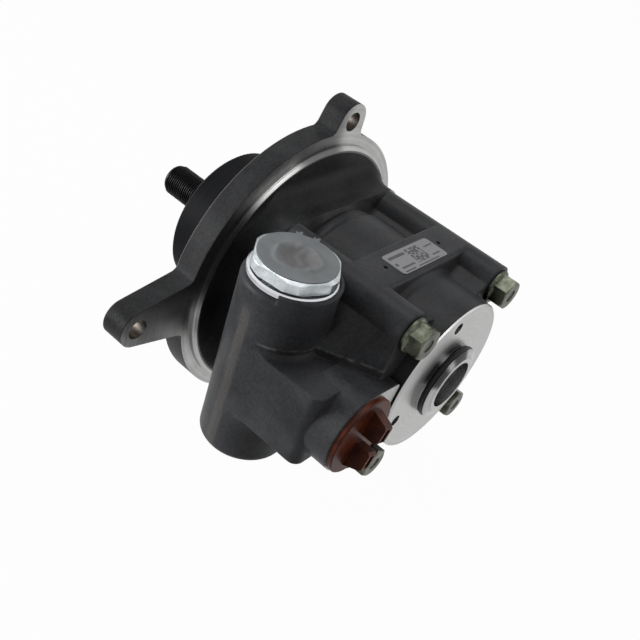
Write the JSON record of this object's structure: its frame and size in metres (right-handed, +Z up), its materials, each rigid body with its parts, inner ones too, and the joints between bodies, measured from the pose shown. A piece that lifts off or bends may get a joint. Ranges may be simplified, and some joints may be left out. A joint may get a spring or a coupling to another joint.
{
  "type": "power steering pump",
  "caption": "Gear driven vane pump with a round ear flange and pilot, a side flow control valve with hexagon plug, capped ports and a rear drive face.",
  "frame": {"origin": "shaft axis at the front face of the mounting flange, where the pilot begins", "axes": "+X along the shaft to the rear, away from the engine; +Z up along the valve towards its hexagon plug; the valve is on the -Y side"},
  "size_m": [0.2233, 0.2101, 0.1853],
  "materials": {
    "cast_iron": "cast skin with machined faces",
    "steel": "ground",
    "bearing_steel": "polished",
    "rubber": "satin",
    "bronze": "satin",
    "olive_zinc": "olive zinc plated",
    "bright_zinc": "bright zinc plated",
    "seal_film": "matte film",
    "brown_plastic": "moulded",
    "label_film": "printed film"
  },
  "bodies": {
    "housing": {"front_housing": "cast_iron", "rear_housing": "cast_iron", "bearing_outer_ring": "bearing_steel", "bearing_circlip": "steel", "shaft_seal": "rubber", "seal_spring": "steel", "front_side_plate": "steel", "cam_ring": "bearing_steel", "pressure_plate": "steel", "pressure_plate_ring": "rubber", "plate_spring": "steel", "dowel_pins": "steel", "joint_ring": "rubber", "rear_bush": "bronze", "cover_bolts": "olive_zinc", "valve_plug": "bright_zinc", "valve_plug_washer": "bright_zinc", "plug_seal_disc": "seal_film", "flow_spring": "steel", "spigot_ring": "rubber", "side_port_plug": "brown_plastic", "lower_port_plug": "brown_plastic", "rating_label": "label_film"},
    "shaft": {"drive_shaft": "steel", "rotor": "steel", "vanes": "bearing_steel", "rotor_circlips": "steel", "bearing_inner_ring": "bearing_steel"},
    "cage": {"bearing_cage": "bearing_steel", "bearing_balls": "bearing_steel"},
    "spool": {"flow_spool": "steel", "relief_seat": "bearing_steel", "relief_spring": "steel"},
    "poppet": {"relief_ball": "bearing_steel", "relief_guide": "steel"}
  },
  "joints": [
    {"name": "shaft_spin", "type": "hinge", "parent": "housing", "child": "shaft", "pos_m": [0, 0, 0], "axis": [1, 0, 0], "continuous": true},
    {"name": "cage_spin", "type": "hinge", "parent": "housing", "child": "cage", "pos_m": [0, 0, 0], "axis": [1, 0, 0], "continuous": true},
    {"name": "spool_slide", "type": "slide", "parent": "housing", "child": "spool", "axis": [0, 0, -1], "range_m": [0, 0.01], "stiffness_N_per_m": 4000, "springref_m": -0.006, "deforming": ["flow_spring"]},
    {"name": "relief_open", "type": "slide", "parent": "spool", "child": "poppet", "axis": [0, 0, 1], "range_m": [0, 0.0008], "stiffness_N_per_m": 30000, "springref_m": -0.002, "deforming": ["relief_spring"]}
  ],
  "couplings": [
    {"joint": "cage_spin", "follows": "shaft_spin", "ratio": 0.39565}
  ]
}
